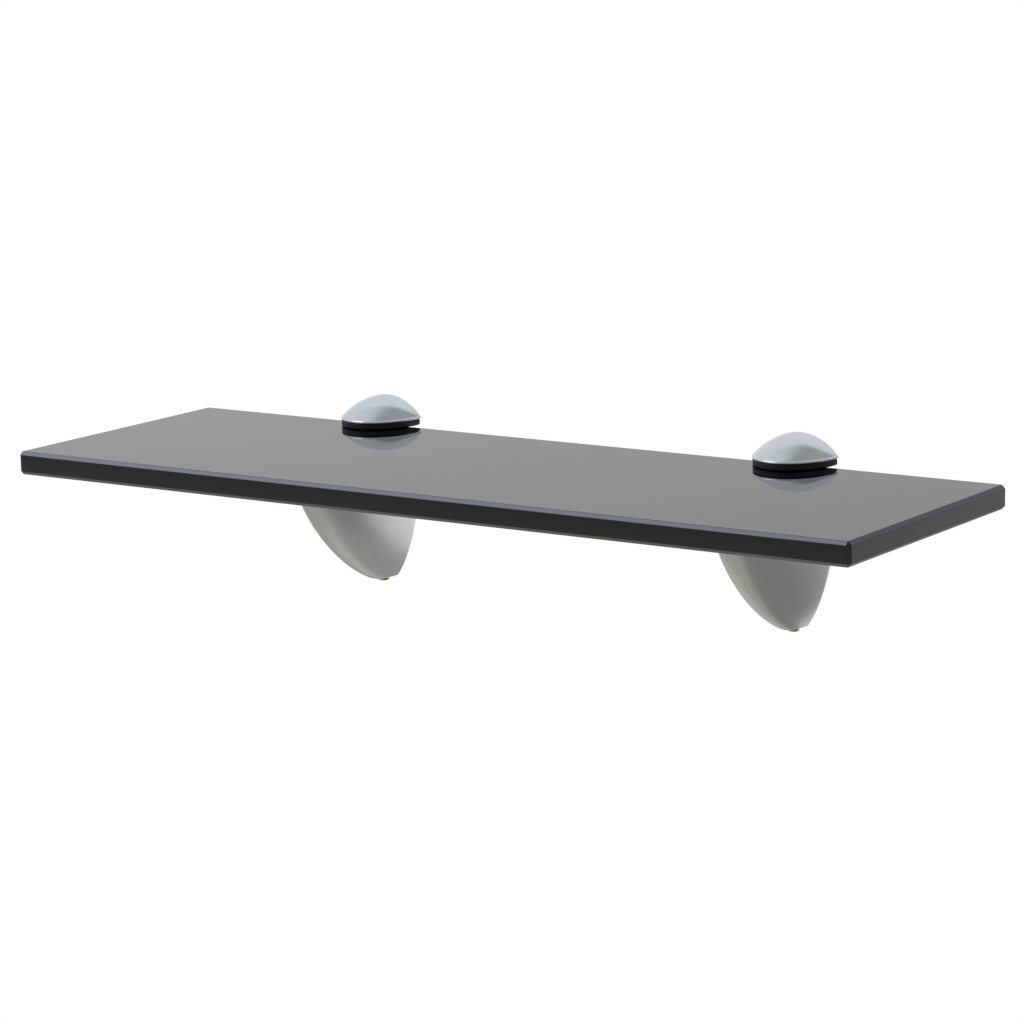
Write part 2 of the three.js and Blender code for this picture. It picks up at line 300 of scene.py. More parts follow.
def soften(made, angle=35, flat_area=4.0, straight=0.9999):
    """Smooth shading, but with sharp edges above the angle and flat faces left flat.

    Faces that look straight at the wall are flat, and so are large ones with many corners.
    """
    mesh = made.data
    mesh.shade_smooth()
    mesh.set_sharp_from_angle(angle=math.radians(angle))
    for face in mesh.polygons:
        faces_wall = abs(face.normal.y) > straight
        if faces_wall or (len(face.vertices) > 4 and face.area > flat_area):
            face.use_smooth = False
    return made


# ---------------------------------------------------------------- glass shelf


def ground_faces(mesh, steepest=-0.4, flattest=-0.9):
    """Marks the chamfers under the edge, which are ground and not polished like the rest."""
    mark = mesh.attributes.new("ground", "FLOAT", "FACE")
    for face in mesh.polygons:
        mark.data[face.index].value = float(flattest < face.normal.z < steepest)


def glass_shelf():
    """The pane: a box with one flat chamfer along each edge, and a fine rounding beside it."""
    shape = rounded_box("glass_pane", GLASS_LOW, GLASS_HIGH, GLASS_CHAMFER, segments=1)
    edit = bmesh.new()
    edit.from_mesh(shape.data)
    bmesh.ops.bevel(
        edit, geom=edit.edges, offset=GLASS_ARRIS, segments=3, profile=0.5, affect="EDGES"
    )
    edit.to_mesh(shape.data)
    edit.free()
    ground_faces(shape.data)
    for face in shape.data.polygons:
        face.use_smooth = face.area < GLASS_LARGEST_ARRIS_FACE
    return shape


# ---------------------------------------------------------------- lower body


def half_oval(half_width, depth, rear_radius, rear=0.0):
    """Half oval with its flat side at y = rear, anticlockwise from the nose."""
    radius = min(rear_radius, half_width * CORNER_WIDTH_SHARE, depth * CORNER_DEPTH_SHARE)
    right = []
    for sine, cosine in quarter(OVAL_STEPS):
        right.append((half_width * sine, rear - radius - (depth + rear - radius) * cosine))
    for sine, cosine in quarter(CORNER_STEPS)[1:]:
        right.append((half_width - radius + radius * cosine, rear - radius + radius * sine))
    left = [(-x, y) for x, y in reversed(right[1:])]
    return right + left


def body_size(z):
    """Half width and depth of the lower body at a height."""
    share = (GLASS_UNDERSIDE - z) / BODY_HEIGHT
    half_width = BODY_HALF_WIDTH * (1 - share**2) ** BODY_WIDTH_ROUNDNESS
    depth = BODY_DEPTH * (1 - share**BODY_DEPTH_POWER) ** BODY_DEPTH_ROUNDNESS
    return half_width, depth


def body_ring(z, inset=0.0):
    half_width, depth = body_size(z)
    outline = half_oval(half_width - inset, depth - inset, BODY_REAR_RADIUS, -inset)
    return at_height(outline, z)


def body_skin():
    """The casting's outer form, with its tip and its rim rounded."""
    low = BODY_TIP + BODY_TIP_RADIUS
    high = BODY_TOP - BODY_RIM_RADIUS
    rings = []
    for sine, cosine in quarter():
        rings.append(body_ring(low - BODY_TIP_RADIUS * cosine, BODY_TIP_RADIUS * (1 - sine)))
    for share in steps(BODY_LEVELS)[1:]:
        rings.append(body_ring(low + (high - low) * (1 - math.cos(math.pi / 2 * share))))
    for sine, cosine in quarter()[1:]:
        rings.append(body_ring(high + BODY_RIM_RADIUS * sine, BODY_RIM_RADIUS * (1 - cosine)))
    return loft("casting", rings)


def body_hollow():
    """The space inside the casting, which is open towards the wall."""
    low, high = BODY_WEB_TOP, BODY_TOP - BODY_TOP_PLATE
    rings = []
    for share in steps(BODY_LEVELS // 2):
        z = low + (high - low) * share
        half_width, depth = body_size(z)
        width = half_width - BODY_WALL
        outline = half_oval(width, depth - BODY_NOSE_WALL, 0.0)
        front = outline[: OVAL_STEPS + 1]
        back = [(-x, y) for x, y in reversed(front[1:])]
        rings.append(at_height(front + [(width, BEYOND), (-width, BEYOND)] + back, z))
    return loft("hollow", rings)


def mirrored_boxes(name, inner, outer, front, back, low, high, radius):
    boxes = []
    for side in (-1, 1):
        x0, x1 = sorted((side * inner, side * outer))
        boxes.append(rounded_box(name, (x0, front, low), (x1, back, high), radius))
    return boxes


def hook_ribs():
    """The two ribs inside, which hang on the wall plate's hooks."""
    top = RIB_BOTTOM + RIB_HEIGHT
    return mirrored_boxes(
        "rib", RIB_INNER, RIB_OUTER, RIB_FRONT, RIB_BACK, RIB_BOTTOM, top, RIB_ROUNDING
    )


def body_cuts():
    """The casting's openings for the tongue, the clamp screw and the locking screw."""
    hole = SCREW_RADIUS + SCREW_CLEARANCE
    pocket = -SCREW_LOW.x + COLLAR_CLEARANCE
    tongue = TONGUE_HALF_WIDTH + SLIDE_GAP
    below, above = BODY_TIP - BEYOND, BODY_WEB_TOP + BEYOND
    pocket_top = WASHER_HIGH.z + PAD_GAP
    pocket_floor = COLLAR_BOTTOM - SLIDE_GAP - PAD_GAP
    grub_bore = -GRUB_LOW.x + THREAD_CLEARANCE
    grub_access = -GRUB_LOW.x + GRUB_ACCESS_CLEARANCE
    return [
        rounded_box(
            "tongue_slot",
            (-tongue, TONGUE_FRONT - SLIDE_GAP, BODY_TOP - BODY_TOP_PLATE - BEYOND),
            (tongue, BEYOND, BODY_TOP + BEYOND),
            TONGUE_ROUNDING,
        ),
        bar("screw_bore", hole, SCREW_Y, below, above, BORE_SIDES),
        rounded_box("screw_slot", (-hole, SCREW_Y, below), (hole, BEYOND, above)),
        rounded_box(
            "collar_pocket",
            (-pocket, SCREW_Y - pocket, pocket_floor),
            (pocket, BEYOND, pocket_top),
            POCKET_ROUNDING,
        ),
        bar("grub_bore", grub_bore, GRUB_Y, GRUB_LOW.z, above, SMALL_BORE_SIDES),
        bar("grub_access", grub_access, GRUB_Y, below, GRUB_LOW.z, SMALL_BORE_SIDES),
    ]


def lower_body():
    casting = combine(body_skin(), [body_hollow()], "DIFFERENCE")
    casting = combine(casting, hook_ribs(), "UNION")
    return soften(combine(casting, body_cuts(), "DIFFERENCE"))


# ---------------------------------------------------------------- upper jaw


def jaw_size(distance):
    """Half width and rise of the dome's arch at a distance from the wall."""
    reach = min(distance / (JAW_DEPTH - JAW_RIM_RADIUS), 1.0)
    outline = (1 - reach**JAW_OUTLINE_POWER) ** (1 / JAW_OUTLINE_POWER)
    half_width = (JAW_HALF_WIDTH - JAW_RIM_RADIUS) * outline
    rise = JAW_RISE * (1 - reach**JAW_RISE_POWER) ** JAW_RISE_ROUNDNESS
    return half_width, rise


def jaw_arch(distance, inset=0.0):
    """One arch of the dome, from its right rim over the top to its left rim."""
    half_width, rise = jaw_size(distance)
    rim = JAW_BASE + JAW_LIP
    arch = []
    for share in steps(ARCH_STEPS):
        turn = math.pi * share
        x = (half_width - inset) * math.cos(turn)
        z = rim + (rise - inset) * abs(math.sin(turn)) ** JAW_ARCH_POWER
        arch.append((x, -distance, z))
    return arch


def jaw_rows():
    """Arches from the wall to just short of the nose, the first few rounding the rear edge."""
    rows = []
    for sine, cosine in quarter():
        rows.append(jaw_arch(JAW_REAR_RADIUS * (1 - cosine), JAW_REAR_RADIUS * (1 - sine)))
    for share in steps(JAW_ARCHES)[1:-1]:
        run = math.sin(math.pi / 2 * share)
        length = JAW_DEPTH - JAW_RIM_RADIUS - JAW_REAR_RADIUS
        rows.append(jaw_arch(JAW_REAR_RADIUS + length * run))
    return rows


def skirt_level(chain, z, outwards):
    """The rim's outline at a height, moved outwards but never into the wall."""
    level = []
    for i, (x, y, _) in enumerate(chain):
        before, after = chain[max(i - 1, 0)], chain[min(i + 1, len(chain) - 1)]
        along = Vector((after[0] - before[0], after[1] - before[1])).normalized()
        shift = Vector((-along.y, along.x)) * outwards
        if -y < JAW_REAR_RADIUS:
            shift = Vector((math.copysign(outwards, x), 0))
        level.append((x + shift.x, y + shift.y, z))
    return level


def lip_profile():
    """Height and outward step of each level of the lip, from the dome down to the base."""
    profile = []
    spread = 1 - math.sin(JAW_RIM_START)
    for share in steps(ROUNDING_STEPS)[1:]:
        turn = JAW_RIM_START + (math.pi / 2 - JAW_RIM_START) * share
        outwards = JAW_RIM_RADIUS * (math.sin(turn) - math.sin(JAW_RIM_START)) / spread
        drop = JAW_RIM_RADIUS * (math.cos(JAW_RIM_START) - math.cos(turn))
        profile.append((JAW_BASE + JAW_LIP - drop, outwards))
    for sine, cosine in quarter():
        inwards = JAW_LIP_RADIUS * (1 - cosine)
        profile.append((JAW_BASE + JAW_LIP_RADIUS * (1 - sine), JAW_RIM_RADIUS - inwards))
    return profile


def dome_faces(row_count, nose):
    """The dome's faces between neighbouring arches, and from the last arch to the nose."""
    width = ARCH_STEPS + 1
    faces = []
    for row in range(row_count - 1):
        for i in range(ARCH_STEPS):
            a = row * width + i
            faces.append((a, a + 1, a + width + 1, a + width))
    last = (row_count - 1) * width
    for i in range(ARCH_STEPS):
        faces.append((last + i, last + i + 1, nose))
    return faces


def add_lip(points, faces, chain):
    """Hangs the lip from the rim, and closes the jaw below and towards the wall."""
    outline = [points[i] for i in chain]
    levels = [chain]
    for z, outwards in lip_profile():
        levels.append(list(range(len(points), len(points) + len(chain))))
        points.extend(skirt_level(outline, z, outwards))
    for upper, lower in zip(levels, levels[1:]):
        for i in range(len(chain) - 1):
            faces.append((upper[i], upper[i + 1], lower[i + 1], lower[i]))
    faces.append(tuple(levels[-1]))
    right_edge = [level[0] for level in reversed(levels)]
    left_edge = [level[-1] for level in levels]
    over_the_top = list(range(1, ARCH_STEPS))
    faces.append(tuple(right_edge + over_the_top + left_edge))


def dome():
    """The jaw's dome: rows of arches above a short upright lip with rounded edges."""
    rows = jaw_rows()
    points = [point for row in rows for point in row]
    nose = len(points)
    points.append((0.0, JAW_RIM_RADIUS - JAW_DEPTH, JAW_BASE + JAW_LIP))
    faces = dome_faces(len(rows), nose)
    right_rim = list(range(0, nose, ARCH_STEPS + 1))
    left_rim = [start + ARCH_STEPS for start in reversed(right_rim)]
    add_lip(points, faces, right_rim + [nose] + left_rim)
    return new_object("dome", points, faces)


def upper_jaw():
    """The dome, with the tongue and threaded block that are cast in one with it."""
    bottom = JAW_LOW.z
    tongue = rounded_box(
        "tongue",
        (-TONGUE_HALF_WIDTH, TONGUE_FRONT, bottom),
        (TONGUE_HALF_WIDTH, TONGUE_BACK, JAW_BASE + TONGUE_OVERLAP),
        TONGUE_ROUNDING,
    )
    block = rounded_box(
        "block",
        (-BLOCK_HALF_WIDTH, BLOCK_FRONT, bottom),
        (BLOCK_HALF_WIDTH, TONGUE_BACK, BLOCK_TOP),
        BLOCK_ROUNDING,
    )
    jaw = combine(facing_out(dome()), [tongue, block], "UNION")
    radius, top = SCREW_RADIUS + THREAD_CLEARANCE, SCREW_HIGH.z + SLIDE_GAP
    bore = bar("bore", radius, SCREW_Y, bottom - BEYOND, top, SMALL_BORE_SIDES)
    return soften(combine(jaw, [bore], "DIFFERENCE"))


# ---------------------------------------------------------------- rubber pads


def pad(name, half_width, depth, low, high, bulge):
    """A rubber pad with softly rounded, slightly bulging edges and a notch for the tongue."""
    radius = (high - low) * PAD_ROUNDING_SHARE
    middle = (low + high) / 2
    rings = []
    for share in steps(PAD_LEVELS):
        z = low + (high - low) * share
        edge = max(radius - min(z - low, high - z), 0.0)
        rounding = radius - math.sqrt(radius**2 - edge**2)
        swell = bulge * ((z - middle) / (high - middle)) ** 2
        inset = rounding + swell
        outline = half_oval(half_width - inset, depth - inset, PAD_REAR_RADIUS, -inset)
        rings.append(at_height(outline, z))
    made = loft(name, rings)
    notch_half_width = TONGUE_HALF_WIDTH + SLIDE_GAP
    notch = rounded_box(
        "notch",
        (-notch_half_width, TONGUE_FRONT - SLIDE_GAP, low - BEYOND),
        (notch_half_width, BEYOND, high + BEYOND),
        NOTCH_ROUNDING,
    )
    return soften(combine(made, [notch], "DIFFERENCE"), 50)


def upper_pad():
    low, high = UPPER_PAD_LOW, UPPER_PAD_HIGH
    return pad("upper_gasket", high.x, -low.y, low.z, high.z, UPPER_PAD_BULGE)


def lower_pad():
    low, high = LOWER_PAD_LOW, LOWER_PAD_HIGH
    return pad("lower_gasket", high.x, -low.y, low.z, high.z, LOWER_PAD_BULGE)


# ---------------------------------------------------------------- screws and washer


def thread_ring(z, y, crest, pitch, cap):
    """A ring across a right-hand thread, no wider than cap."""
    root = crest - THREAD_DEPTH * pitch
    ring = []
    for i in range(THREAD_SIDES):
        share = i / THREAD_SIDES
        run = abs(2 * ((z / pitch - share) % 1.0) - 1)
        flank = min(max((run - THREAD_ROOT_FLAT) / THREAD_FLANK, 0.0), 1.0)
        radius = min(root + (crest - root) * flank, cap)
        turn = 2 * math.pi * share
        ring.append((radius * math.cos(turn), y + radius * math.sin(turn), z))
    return ring


def threaded(low, high, y, crest, pitch, chamfer):
    """Rings of a threaded length, with a chamfer at each end."""
    count = math.ceil((high - low) / pitch * THREAD_STEPS)
    rings = []
    for share in steps(count):
        z = low + (high - low) * share
        cap = crest - max(chamfer - min(z - low, high - z), 0.0)
        rings.append(thread_ring(z, y, crest, pitch, cap))
    return rings


def collar_rings(radius, edge):
    """The clamp screw's plain collar, with a small chamfer above and below."""
    profile = [
        (radius - edge, COLLAR_BOTTOM),
        (radius, COLLAR_BOTTOM + edge),
        (radius, COLLAR_TOP - edge),
        (radius - edge, COLLAR_TOP),
    ]
    return [at_height(circle(r, SCREW_Y, THREAD_SIDES), z) for r, z in profile]


def clamp_screw():
    thread = (SCREW_Y, SCREW_RADIUS, SCREW_PITCH, SCREW_CHAMFER)
    rings = threaded(SCREW_LOW.z, COLLAR_BOTTOM, *thread)
    rings += collar_rings(SCREW_HIGH.x, COLLAR_EDGE)
    rings += threaded(COLLAR_TOP, SCREW_HIGH.z, *thread)
    made = loft("clamp_screw", rings)
    reach = SCREW_RADIUS + BEYOND
    slot = rounded_box(
        "slot",
        (-reach, SCREW_Y - SLOT_WIDTH / 2, SCREW_LOW.z - BEYOND),
        (reach, SCREW_Y + SLOT_WIDTH / 2, SCREW_LOW.z + SLOT_DEPTH),
    )
    return soften(combine(made, [slot], "DIFFERENCE"), 40)


def locking_screw():
    low, high, radius = GRUB_LOW.z, GRUB_HIGH.z, GRUB_HIGH.x
    made = loft("grub_screw", threaded(low, high, GRUB_Y, radius, GRUB_PITCH, GRUB_CHAMFER))
    top = low + GRUB_SOCKET_DEPTH
    socket = bar("socket", GRUB_SOCKET_RADIUS, GRUB_Y, low - BEYOND, top, HEXAGON)
    return soften(combine(made, [socket], "DIFFERENCE"), 40)


def thrust_washer():
    low, high, inner, outer = WASHER_LOW.z, WASHER_HIGH.z, WASHER_INNER, WASHER_HIGH.x
    profile = [
        (inner, low + WASHER_EDGE),
        (inner + WASHER_EDGE, low),
        (outer - WASHER_EDGE, low),
        (outer, low + WASHER_EDGE),
        (outer, high - WASHER_EDGE),
        (outer - WASHER_EDGE, high),
        (inner + WASHER_EDGE, high),
        (inner, high - WASHER_EDGE),
    ]
    return soften(facing_out(turned("slide_washer", profile, SCREW_Y, WASHER_SIDES)), 50)


# ---------------------------------------------------------------- materials


def mixed_colour(tree, share, first, second):
    """Two colours, either plain or from a node, mixed by a share from a node."""
    mix = tree.nodes.new("ShaderNodeMix")
    mix.data_type = "RGBA"
    tree.links.new(share, mix.inputs["Factor"])
    # The node has a pair of inputs for each kind of data, and colours are at 6 and 7.
    for socket, colour in zip(mix.inputs[6:8], (first, second)):
        if isinstance(colour, tuple):
            socket.default_value = (*colour, 1.0)
        else:
            tree.links.new(colour, socket)
    return mix.outputs[2]


class Shader:
    """A material under construction, with its Principled shader and short calls for nodes."""

    def __init__(self, name, plain):
        self.material = bpy.data.materials.new(name)
        self.material.use_nodes = True
        self.tree = self.material.node_tree
        self.surface = self.tree.nodes["Principled BSDF"]
        for socket, value in plain.items():
            self.surface.inputs[socket].default_value = value
        self.place = self.node("ShaderNodeTexCoord").outputs["Object"]

    def node(self, kind, **settings):
        made = self.tree.nodes.new(kind)
        for setting, value in settings.items():
            setattr(made, setting, value)
        return made

    def join(self, source, target):
        self.tree.links.new(source, target)

    def stretched(self, scale):
        """Object coordinates stretched by a scale for each axis."""
        mapping = self.node("ShaderNodeMapping")
        mapping.inputs["Scale"].default_value = scale
        self.join(self.place, mapping.inputs["Vector"])
        return mapping.outputs["Vector"]

    def noise(self, size, detail=3.0, place=None):
        """Noise whose patches are about that size, in millimetres."""
        noise = self.node("ShaderNodeTexNoise")
        noise.inputs["Scale"].default_value = 1 / (size * MM)
        noise.inputs["Detail"].default_value = detail
        self.join(place or self.place, noise.inputs["Vector"])
        return noise.outputs["Fac"]

    def ranged(self, value, low, high, start=0.3, end=0.7):
        """A value between start and end, brought to between low and high."""
        ranged = self.node("ShaderNodeMapRange")
        ranged.inputs["From Min"].default_value = start
        ranged.inputs["From Max"].default_value = end
        ranged.inputs["To Min"].default_value = low
        ranged.inputs["To Max"].default_value = high
        self.join(value, ranged.inputs["Value"])
        return ranged.outputs["Result"]

    def maths(self, operation, a, b):
        node = self.node("ShaderNodeMath", operation=operation)
        for socket, value in zip(node.inputs, (a, b)):
            if isinstance(value, (int, float)):
                socket.default_value = value
            else:
                self.join(value, socket)
        return node.outputs["Value"]

    def mixed(self, share, first, second):
        """Two colours mixed by a share."""
        return mixed_colour(self.tree, share, first, second)

    def blended(self, share, first, second):
        """Two values mixed by a share."""
        mix = self.node("ShaderNodeMix", data_type="FLOAT")
        self.join(share, mix.inputs[0])
        self.join(first, mix.inputs[2])
        self.join(second, mix.inputs[3])
        return mix.outputs[0]

    def edges(self, start=0.52, end=0.62):
        """Convex edges, where handling wears a finish first."""
        pointiness = self.node("ShaderNodeNewGeometry").outputs["Pointiness"]
        return self.ranged(pointiness, 0.0, 1.0, start, end)

    def set(self, socket, value):
        self.join(value, self.surface.inputs[socket])

    def bump(self, height, depth):
        """Bumps of about that depth, in millimetres."""
        bump = self.node("ShaderNodeBump")
        bump.inputs["Distance"].default_value = depth * MM
        self.join(height, bump.inputs["Height"])
        self.set("Normal", bump.outputs["Normal"])


# How much brighter and how much smoother a worn edge is, and how far the grain varies the gloss.
WORN_BRIGHTNESS = 1.12
WORN_SMOOTHNESS = 0.05
GRAIN_GLOSS = 0.015


def cast_metal(name, dark, light, roughness, grain, grain_depth, brush=None):
    """Plated metal: faintly cloudy colour and gloss, a fine grain, and brighter worn edges."""
    shader = Shader(name, {"Metallic": 1.0})
    cloud = shader.ranged(shader.noise(9.0), 0.0, 1.0)
    worn = shader.edges()
    body_colour = shader.mixed(cloud, dark, light)
    bright = tuple(min(1.0, channel * WORN_BRIGHTNESS) for channel in light)
    shader.set("Base Color", shader.mixed(worn, body_colour, bright))
    fine = shader.noise(grain, 4.0, shader.stretched(brush) if brush else None)
    gloss = shader.ranged(shader.noise(4.0), roughness[0], roughness[1])
    speckled = shader.maths("ADD", gloss, shader.ranged(fine, -GRAIN_GLOSS, GRAIN_GLOSS))
    smoothed = shader.maths("MULTIPLY", worn, WORN_SMOOTHNESS)
    shader.set("Roughness", shader.maths("SUBTRACT", speckled, smoothed))
    shader.bump(fine, grain_depth)
    return shader.material


def satin_nickel():
    """The soft grey plating of the cast bodies."""
    return cast_metal(
        "satin_nickel",
        dark=(0.625, 0.63, 0.615),
        light=(0.66, 0.665, 0.65),
        roughness=(0.29, 0.34),
        grain=0.22,
        grain_depth=0.001,
    )


def satin_chrome():
    """The jaws' brighter plating, brushed from side to side, with its grain drawn out along X."""
    return cast_metal(
        "satin_chrome",
        dark=(0.66, 0.68, 0.69),
        light=(0.72, 0.74, 0.755),
        roughness=(0.13, 0.18),
        grain=0.12,
        grain_depth=0.0012,
        brush=(0.12, 1.0, 1.0),
    )


def brass():
    """Plain brass, as on the clamp screws."""
    return cast_metal(
        "brass",
        dark=(0.52, 0.42, 0.26),
        light=(0.66, 0.55, 0.36),
        roughness=(0.22, 0.34),
        grain=0.2,
        grain_depth=0.004,
    )


def zinc_steel():
    """The zinc plating of the pressed wall plates."""
    return cast_metal(
        "zinc_plate",
        dark=(0.50, 0.51, 0.53),
        light=(0.66, 0.67, 0.68),
        roughness=(0.3, 0.46),
        grain=0.5,
        grain_depth=0.006,
    )


def black_steel():
    """Oiled black steel, with a thin cloudy finish."""
    shader = Shader("black_steel", {"Metallic": 0.8})
    cloud = shader.ranged(shader.noise(1.5), 0.0, 1.0)
    shader.set("Base Color", shader.mixed(cloud, (0.018, 0.018, 0.02), (0.035, 0.035, 0.037)))
    shader.set("Roughness", shader.ranged(shader.noise(0.8), 0.38, 0.52))
    shader.bump(shader.noise(0.2), 0.004)
    return shader.material


def rubber():
    """Moulded black rubber: matt, finely grained, and greyer where dust holds."""
    shader = Shader("black_rubber", {"Specular IOR Level": 0.4})
    dusty = shader.ranged(shader.noise(5.0, 5.0), 0.0, 1.0)
    shader.set("Base Color", shader.mixed(dusty, (0.006, 0.0062, 0.007), (0.012, 0.0122, 0.0135)))
    shader.set("Roughness", shader.ranged(shader.noise(2.0), 0.42, 0.58))
    shader.bump(shader.noise(0.25, 5.0), 0.012)
    return shader.material


def nylon():
    """Natural nylon, slightly translucent and unevenly ivory."""
    shader = Shader("nylon", {"Subsurface Weight": 0.1, "Subsurface Scale": 0.001})
    tone = shader.ranged(shader.noise(3.0), 0.0, 1.0)
    shader.set("Base Color", shader.mixed(tone, (0.66, 0.64, 0.57), (0.74, 0.72, 0.66)))
    shader.set("Roughness", shader.ranged(shader.noise(1.0), 0.45, 0.6))
    shader.bump(shader.noise(0.3), 0.006)
    return shader.material


def smoked_glass():
    """Glass tinted so deeply that nothing shows through, with painted light that makes it a little
    lighter towards its underside.
    """
    shader = Shader("smoked_glass", {"IOR": 1.52})
    ground = shader.node("ShaderNodeAttribute", attribute_name="ground").outputs["Fac"]
    along = shader.node("ShaderNodeSeparateXYZ")
    shader.join(shader.place, along.inputs["Vector"])
    # Painted light: the colour grows lighter from the top face down to the underside, as if lit
    # from below through the glass, with a little random cloudiness.
    depth = shader.ranged(along.outputs["Z"], 0.0, 1.0, 0.0, GLASS_UNDERSIDE * MM)
    cloud = shader.maths("MULTIPLY", depth, shader.ranged(shader.noise(12.0), 0.8, 1.0))
    tint_with_painted_underlight = shader.mixed(cloud, (0.001, 0.002, 0.004), (0.016, 0.02, 0.019))
    shader.set("Base Color", shader.mixed(ground, tint_with_painted_underlight, (0.12, 0.12, 0.1)))
    polish = shader.ranged(shader.noise(25.0, 4.0), 0.02, 0.035)
    grind = shader.ranged(shader.noise(0.4, 4.0), 0.3, 0.4)
    shader.set("Roughness", shader.blended(ground, polish, grind))
    shader.bump(shader.maths("MULTIPLY", shader.noise(0.3, 4.0), ground), 0.0015)
    return shader.material


# ---------------------------------------------------------------- assembly


# How close the wall plates' corners are welded and how far their edges are rounded.
PLATE_WELD = 0.01
PLATE_ROUNDING = 0.25
PLATE_SHARP_ANGLE = math.radians(40)


def set_material(made, material):
    """Gives the object that material and no other."""
    made.data.materials.clear()
    made.data.materials.append(material)


def place(source, side, name, body, node, slot):
    """A copy of a bracket piece, in metres, where the frame has that side's node."""
    low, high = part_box(f"{side}_{node}")
    made = bpy.data.objects.new(f"{side}_{name}", source.data.copy())
    made.data.transform(Matrix.Scale(MM, 4))
    made.location.x = (low.x + high.x) / 2
    bpy.context.scene.collection.objects.link(made)
    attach(made, body)
    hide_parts(f"{side}_{node}")


def bracket_pieces():
    """Builds each bracket piece once and places it on both sides."""
    recipes = [
        # shape, name, body that carries it, node that it stands for, slot, material
        (lower_body, "casting", "brackets", "lower_body", "satin_nickel", satin_nickel),
        (lower_pad, "lower_gasket", "brackets", "lower_pad", "black_rubber", rubber),
        (upper_jaw, "jaw", "{side}_jaw", "upper_jaw", "satin_chrome", satin_chrome),
        (upper_pad, "upper_gasket", "{side}_jaw", "upper_pad", "black_rubber", rubber),
        (clamp_screw, "m4_screw", "{side}_screw", "clamp_screw", "brass", brass),
        (thrust_washer, "slide_washer", "{side}_screw", "thrust_washer", "nylon", nylon),
        (locking_screw, "grub_screw", "brackets", "locking_screw", "black_steel", black_steel),
    ]
    materials = {}
    for make_shape, name, body, node, slot, make_material in recipes:
        if slot not in materials:
            materials[slot] = make_material()
        source = make_shape()
        set_material(source, materials[slot])
        for side in SIDES:
            place(source, side, name, body.format(side=side), node, slot)
        bpy.data.objects.remove(source)


def carry_over_plates():
    """The pressed wall plates keep their shape, with rounded edges and a zinc finish."""
    zinc = zinc_steel()
    for side in SIDES:
        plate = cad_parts[f"{side}_wall_plate"]
        set_material(plate, zinc)
        weld = plate.modifiers.new("weld", "WELD")
        weld.merge_threshold = PLATE_WELD * MM
        rounding = plate.modifiers.new("rounding", "BEVEL")
        rounding.width = PLATE_ROUNDING * MM
        rounding.segments = 2
        rounding.limit_method = "ANGLE"
        rounding.angle_limit = PLATE_SHARP_ANGLE


def place_glass():
    pane = glass_shelf()
    pane.data.transform(Matrix.Scale(MM, 4))
    set_material(pane, smoked_glass())
    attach(pane, "glass")
    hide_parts("glass_shelf")


# ---------------------------------------------------------------- studio

# The studio is set out in metres, but the lens and the sensor are in millimetres.
FLOOR_HALF = 12.0
FLOOR_HEIGHT = -0.32

CAMERA_PLACE = (0.6617, -1.0458, 0.2168)
CAMERA_YAW = math.radians(33.53)
CAMERA_PITCH = math.radians(11.03)
CAMERA_ROLL = math.radians(-0.92)
CAMERA_LENS = 129.4
CAMERA_SENSOR = 36.0


def studio_floor():
    """A pale floor well below the shelf, which looks evenly white and casts no light itself."""
    corners = ((-1, -1), (1, -1), (1, 1), (-1, 1))
    points = [(x * FLOOR_HALF, y * FLOOR_HALF, FLOOR_HEIGHT) for x, y in corners]
    floor = new_object("floor", points, [(0, 1, 2, 3)])
    material = bpy.data.materials.new("pale_floor")
    material.use_nodes = True
    tree = material.node_tree
    tree.nodes.clear()
    white = tree.nodes.new("ShaderNodeEmission")
    output = tree.nodes.new("ShaderNodeOutputMaterial")
    tree.links.new(white.outputs["Emission"], output.inputs["Surface"])
    floor.data.materials.append(material)
    floor.visible_glossy = False
    floor.visible_diffuse = False
    floor.visible_transmission = False
    floor.visible_shadow = False


class Sky:
    """Short calls for the world's nodes, which read the direction that light comes from."""

    def __init__(self, tree):
        self.tree = tree
        place = tree.nodes.new("ShaderNodeTexCoord")
        split = tree.nodes.new("ShaderNodeSeparateXYZ")
        tree.links.new(place.outputs["Generated"], split.inputs["Vector"])
        self.x, self.y, self.z = split.outputs

    def sloped(self, value, times, plus):
        """value + times * plus."""
        node = self.tree.nodes.new("ShaderNodeMath")
        node.operation = "MULTIPLY_ADD"
        node.inputs[1].default_value = times
        self.tree.links.new(plus, node.inputs[0])
        self.tree.links.new(value, node.inputs[2])
        return node.outputs["Value"]

    def rise(self, value, start, end):
        """0 before start and 1 after end, with a soft change between them."""
        node = self.tree.nodes.new("ShaderNodeMapRange")
        node.interpolation_type = "SMOOTHSTEP"
        node.inputs["From Min"].default_value = start
        node.inputs["From Max"].default_value = end
        self.tree.links.new(value, node.inputs["Value"])
        return node.outputs["Result"]

    def mixed(self, share, first, second):
        """Two colours mixed by a share."""
        return mixed_colour(self.tree, share, first, second)


def sky_light(sky):
    """The light that arrives from each direction: a pale backdrop behind the shelf, in a room."""
    bright_left, plain, blue_top = (0.80, 0.81, 0.805), (0.70, 0.71, 0.705), (0.76, 0.80, 0.86)
    bright_room, dim_room = (0.66, 0.70, 0.72), (0.36, 0.385, 0.38)
    warm_ground, dark_ground = (0.44, 0.455, 0.40), (0.245, 0.25, 0.245)
    behind = sky.sloped(sky.y, -0.6, sky.x)
    across = sky.sloped(sky.x, 1.0, sky.y)
    level = sky.sloped(sky.z, 0.15, sky.y)
    low_backdrop = sky.mixed(sky.rise(sky.x, -0.66, -0.36), bright_left, plain)
    backdrop = sky.mixed(sky.rise(sky.z, 0.22, 0.42), low_backdrop, blue_top)
    room = sky.mixed(sky.rise(sky.x, -0.45, 0.12), bright_room, dim_room)
    above = sky.mixed(sky.rise(behind, 0.5, 0.64), room, backdrop)
    below = sky.mixed(sky.rise(across, 0.46, 0.64), warm_ground, dark_ground)
    return sky.mixed(sky.rise(level, -0.32, -0.2), below, above)


